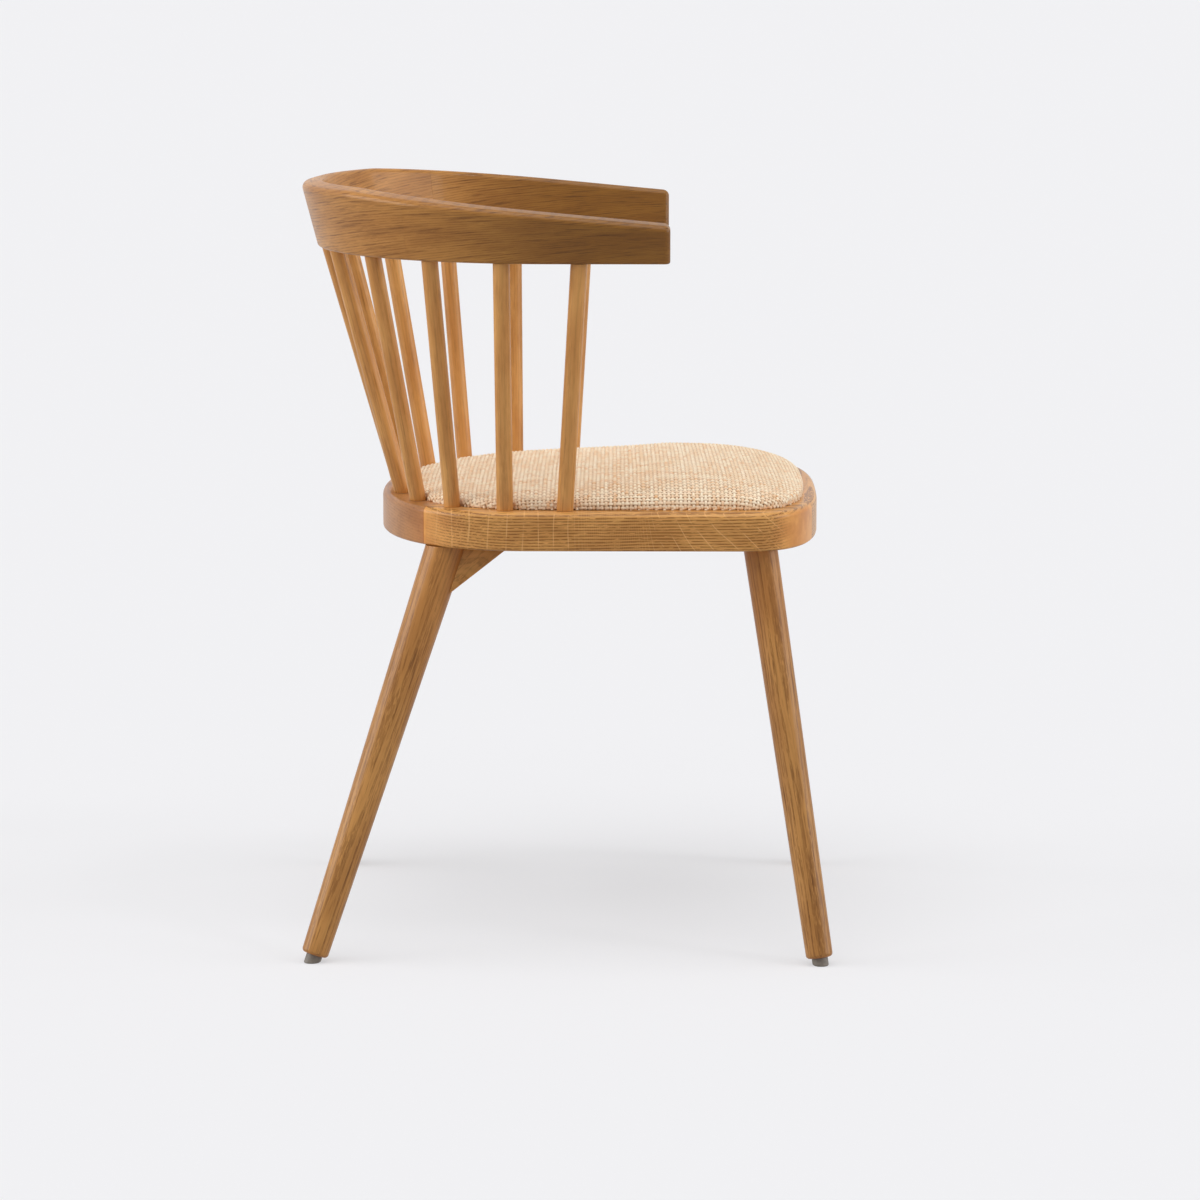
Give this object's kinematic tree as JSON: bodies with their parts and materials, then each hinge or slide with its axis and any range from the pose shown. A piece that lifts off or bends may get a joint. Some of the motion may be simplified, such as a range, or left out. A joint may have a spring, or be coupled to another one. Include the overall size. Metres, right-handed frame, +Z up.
{
  "type": "dining armchair",
  "caption": "Low-backed dining armchair: a bent bow of back and arms on upright spindles, crowned woven seat in a rounded wooden frame, splayed tapered legs.",
  "frame": {"origin": "on the floor, under the middle of the chair's bounding box", "axes": "+X to the chair's front, +Y to the sitter's left, +Z up"},
  "size_m": [0.5333, 0.4968, 0.7594],
  "materials": {
    "oak_spindle": "satin clear lacquer over honey oak",
    "oak_bow": "satin clear lacquer over oak",
    "oak_rail": "satin clear lacquer over quarter-sawn oak",
    "oak_rear_rail": "satin clear lacquer over oak, slightly redder",
    "oak_leg": "satin clear lacquer over oak",
    "dowel_wood": "plain turned hardwood",
    "plywood": "sanded, unfinished",
    "foam": "open-cell foam, matt",
    "woven_cord": "woven pale straw cord, low sheen",
    "glide_plastic": "matt grey brown",
    "steel": "plain zinc-plated steel"
  },
  "bodies": {
    "root": {"bow_arm_left": "oak_bow", "bow_arm_right": "oak_bow", "bow_back": "oak_bow", "bow_dowel_left_lower": "dowel_wood", "bow_dowel_left_upper": "dowel_wood", "bow_dowel_right_lower": "dowel_wood", "bow_dowel_right_upper": "dowel_wood", "brace_screw_left_leg": "steel", "brace_screw_left_rail": "steel", "brace_screw_right_leg": "steel", "brace_screw_right_rail": "steel", "glide_front_left": "glide_plastic", "glide_front_right": "glide_plastic", "glide_nail_front_left": "steel", "glide_nail_front_right": "steel", "glide_nail_rear_left": "steel", "glide_nail_rear_right": "steel", "glide_rear_left": "glide_plastic", "glide_rear_right": "glide_plastic", "leg_brace_left": "oak_leg", "leg_brace_right": "oak_leg", "leg_front_left": "oak_leg", "leg_front_right": "oak_leg", "leg_rear_left": "oak_leg", "leg_rear_right": "oak_leg", "panel_screw_left_front": "steel", "panel_screw_left_middle": "steel", "panel_screw_left_rear": "steel", "panel_screw_right_front": "steel", "panel_screw_right_middle": "steel", "panel_screw_right_rear": "steel", "seat_cover": "woven_cord", "seat_dowel_front_left_inner": "dowel_wood", "seat_dowel_front_left_outer": "dowel_wood", "seat_dowel_front_right_inner": "dowel_wood", "seat_dowel_front_right_outer": "dowel_wood", "seat_dowel_rear_left_lower": "dowel_wood", "seat_dowel_rear_left_upper": "dowel_wood", "seat_dowel_rear_right_lower": "dowel_wood", "seat_dowel_rear_right_upper": "dowel_wood", "seat_pad": "foam", "seat_panel": "plywood", "seat_rail_front": "oak_rail", "seat_rail_left": "oak_rail", "seat_rail_rear": "oak_rear_rail", "seat_rail_right": "oak_rail", "spindle_centre": "oak_spindle", "spindle_left_1": "oak_spindle", "spindle_left_2": "oak_spindle", "spindle_left_3": "oak_spindle", "spindle_left_4": "oak_spindle", "spindle_left_5": "oak_spindle", "spindle_right_1": "oak_spindle", "spindle_right_2": "oak_spindle", "spindle_right_3": "oak_spindle", "spindle_right_4": "oak_spindle", "spindle_right_5": "oak_spindle"}
  },
  "joints": []
}
